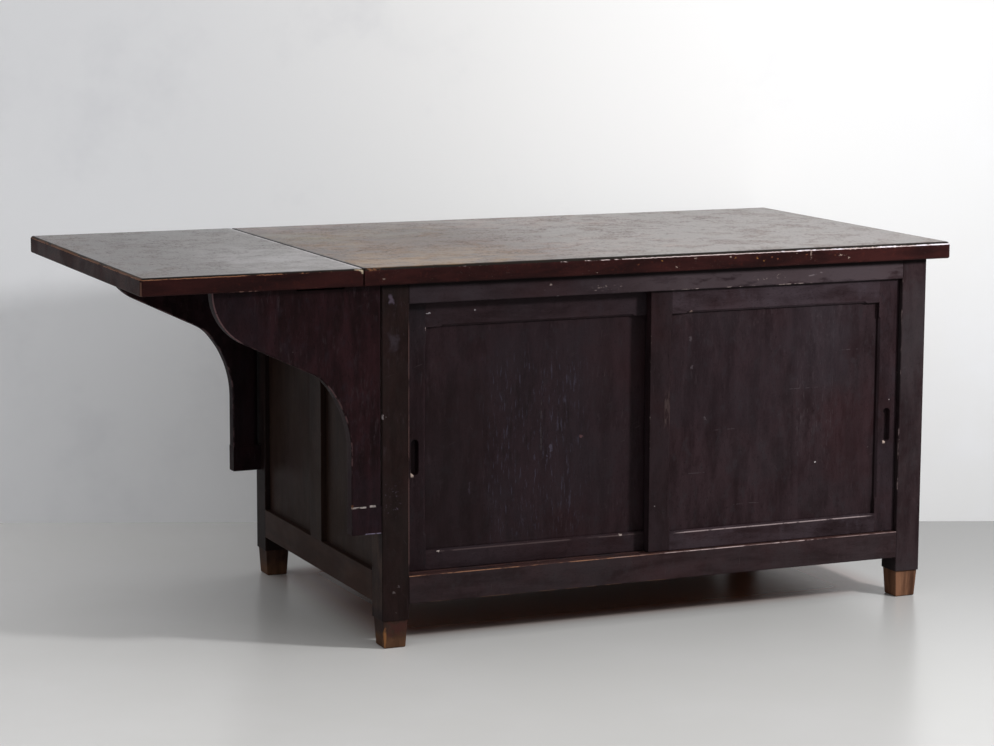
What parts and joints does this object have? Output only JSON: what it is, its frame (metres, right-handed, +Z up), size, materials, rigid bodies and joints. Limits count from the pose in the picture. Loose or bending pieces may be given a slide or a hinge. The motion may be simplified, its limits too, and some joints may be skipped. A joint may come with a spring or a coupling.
{
  "type": "work table",
  "caption": "Wooden work table: a cabinet on four posts with sliding framed doors, a thick top, and a hinged leaf held up by curved swinging brackets.",
  "frame": {"origin": "on the floor, under the middle of the whole table with its leaf up", "axes": "+X along the table from the leaf to the far end, +Y from the door side to the back, +Z up"},
  "size_m": [1.852, 0.852, 0.8],
  "materials": {
    "dark_wood": "worn dark paint with a dull sheen",
    "bracket_wood": "worn dark stain",
    "foot_wood": "bare and stained wood",
    "top_wood": "scrubbed and worn, dark edges",
    "leaf_wood": "scrubbed and worn, dark edges",
    "inner_wood": "unpainted",
    "steel": "dull"
  },
  "bodies": {
    "cabinet": {"back_bottom_rail": "dark_wood", "back_left_panel": "dark_wood", "back_muntin": "dark_wood", "back_right_panel": "dark_wood", "back_top_rail": "dark_wood", "bracket_block_front": "dark_wood", "bracket_block_rear": "dark_wood", "floor_bearer_centre": "inner_wood", "floor_bearer_left": "inner_wood", "floor_bearer_right": "inner_wood", "floor_board_front": "inner_wood", "floor_board_middle": "inner_wood", "floor_board_rear": "inner_wood", "foot_front_left": "foot_wood", "foot_front_right": "foot_wood", "foot_rear_left": "foot_wood", "foot_rear_right": "foot_wood", "front_bottom_rail": "dark_wood", "front_top_rail": "dark_wood", "hinge_fixed_plates": "steel", "hinge_fixed_screws": "steel", "hinge_pins": "steel", "left_end_bottom_rail": "dark_wood", "left_end_front_panel": "dark_wood", "left_end_muntin": "dark_wood", "left_end_rear_panel": "dark_wood", "left_end_top_rail": "dark_wood", "main_top": "top_wood", "post_front_left": "dark_wood", "post_front_right": "dark_wood", "post_rear_left": "dark_wood", "post_rear_right": "dark_wood", "right_end_bottom_rail": "dark_wood", "right_end_front_panel": "dark_wood", "right_end_muntin": "dark_wood", "right_end_rear_panel": "dark_wood", "right_end_top_rail": "dark_wood", "shelf": "inner_wood", "shelf_cleat_back": "inner_wood", "shelf_cleat_left": "inner_wood", "shelf_cleat_right": "inner_wood", "top_button_screws": "steel", "top_buttons": "inner_wood"},
    "left_door": {"left_door_bottom_rail": "dark_wood", "left_door_inner_stile": "dark_wood", "left_door_outer_stile": "dark_wood", "left_door_panel": "dark_wood", "left_door_top_rail": "dark_wood"},
    "right_door": {"right_door_bottom_rail": "dark_wood", "right_door_inner_stile": "dark_wood", "right_door_outer_stile": "dark_wood", "right_door_panel": "dark_wood", "right_door_top_rail": "dark_wood"},
    "front_bracket": {"bracket_front": "bracket_wood", "bracket_pins_front": "steel"},
    "rear_bracket": {"bracket_rear": "bracket_wood", "bracket_pins_rear": "steel"},
    "leaf": {"leaf": "leaf_wood", "hinge_moving_plates": "steel", "hinge_moving_screws": "steel"}
  },
  "joints": [
    {"name": "left_door_slide", "type": "slide", "parent": "cabinet", "child": "left_door", "axis": [1, 0, 0], "range_m": [0, 0.556]},
    {"name": "right_door_slide", "type": "slide", "parent": "cabinet", "child": "right_door", "axis": [-1, 0, 0], "range_m": [0, 0.556]},
    {"name": "front_bracket_swing", "type": "hinge", "parent": "cabinet", "child": "front_bracket", "pos_m": [-0.429, -0.383, 0.5], "axis": [0, 0, -1], "range_deg": [0, 90]},
    {"name": "rear_bracket_swing", "type": "hinge", "parent": "cabinet", "child": "rear_bracket", "pos_m": [-0.429, 0.383, 0.5], "axis": [0, 0, 1], "range_deg": [0, 90]},
    {"name": "leaf_lift", "type": "hinge", "parent": "cabinet", "child": "leaf", "pos_m": [-0.4595, 0, 0.7635], "axis": [0, 1, 0], "range_deg": [0, 4]}
  ]
}
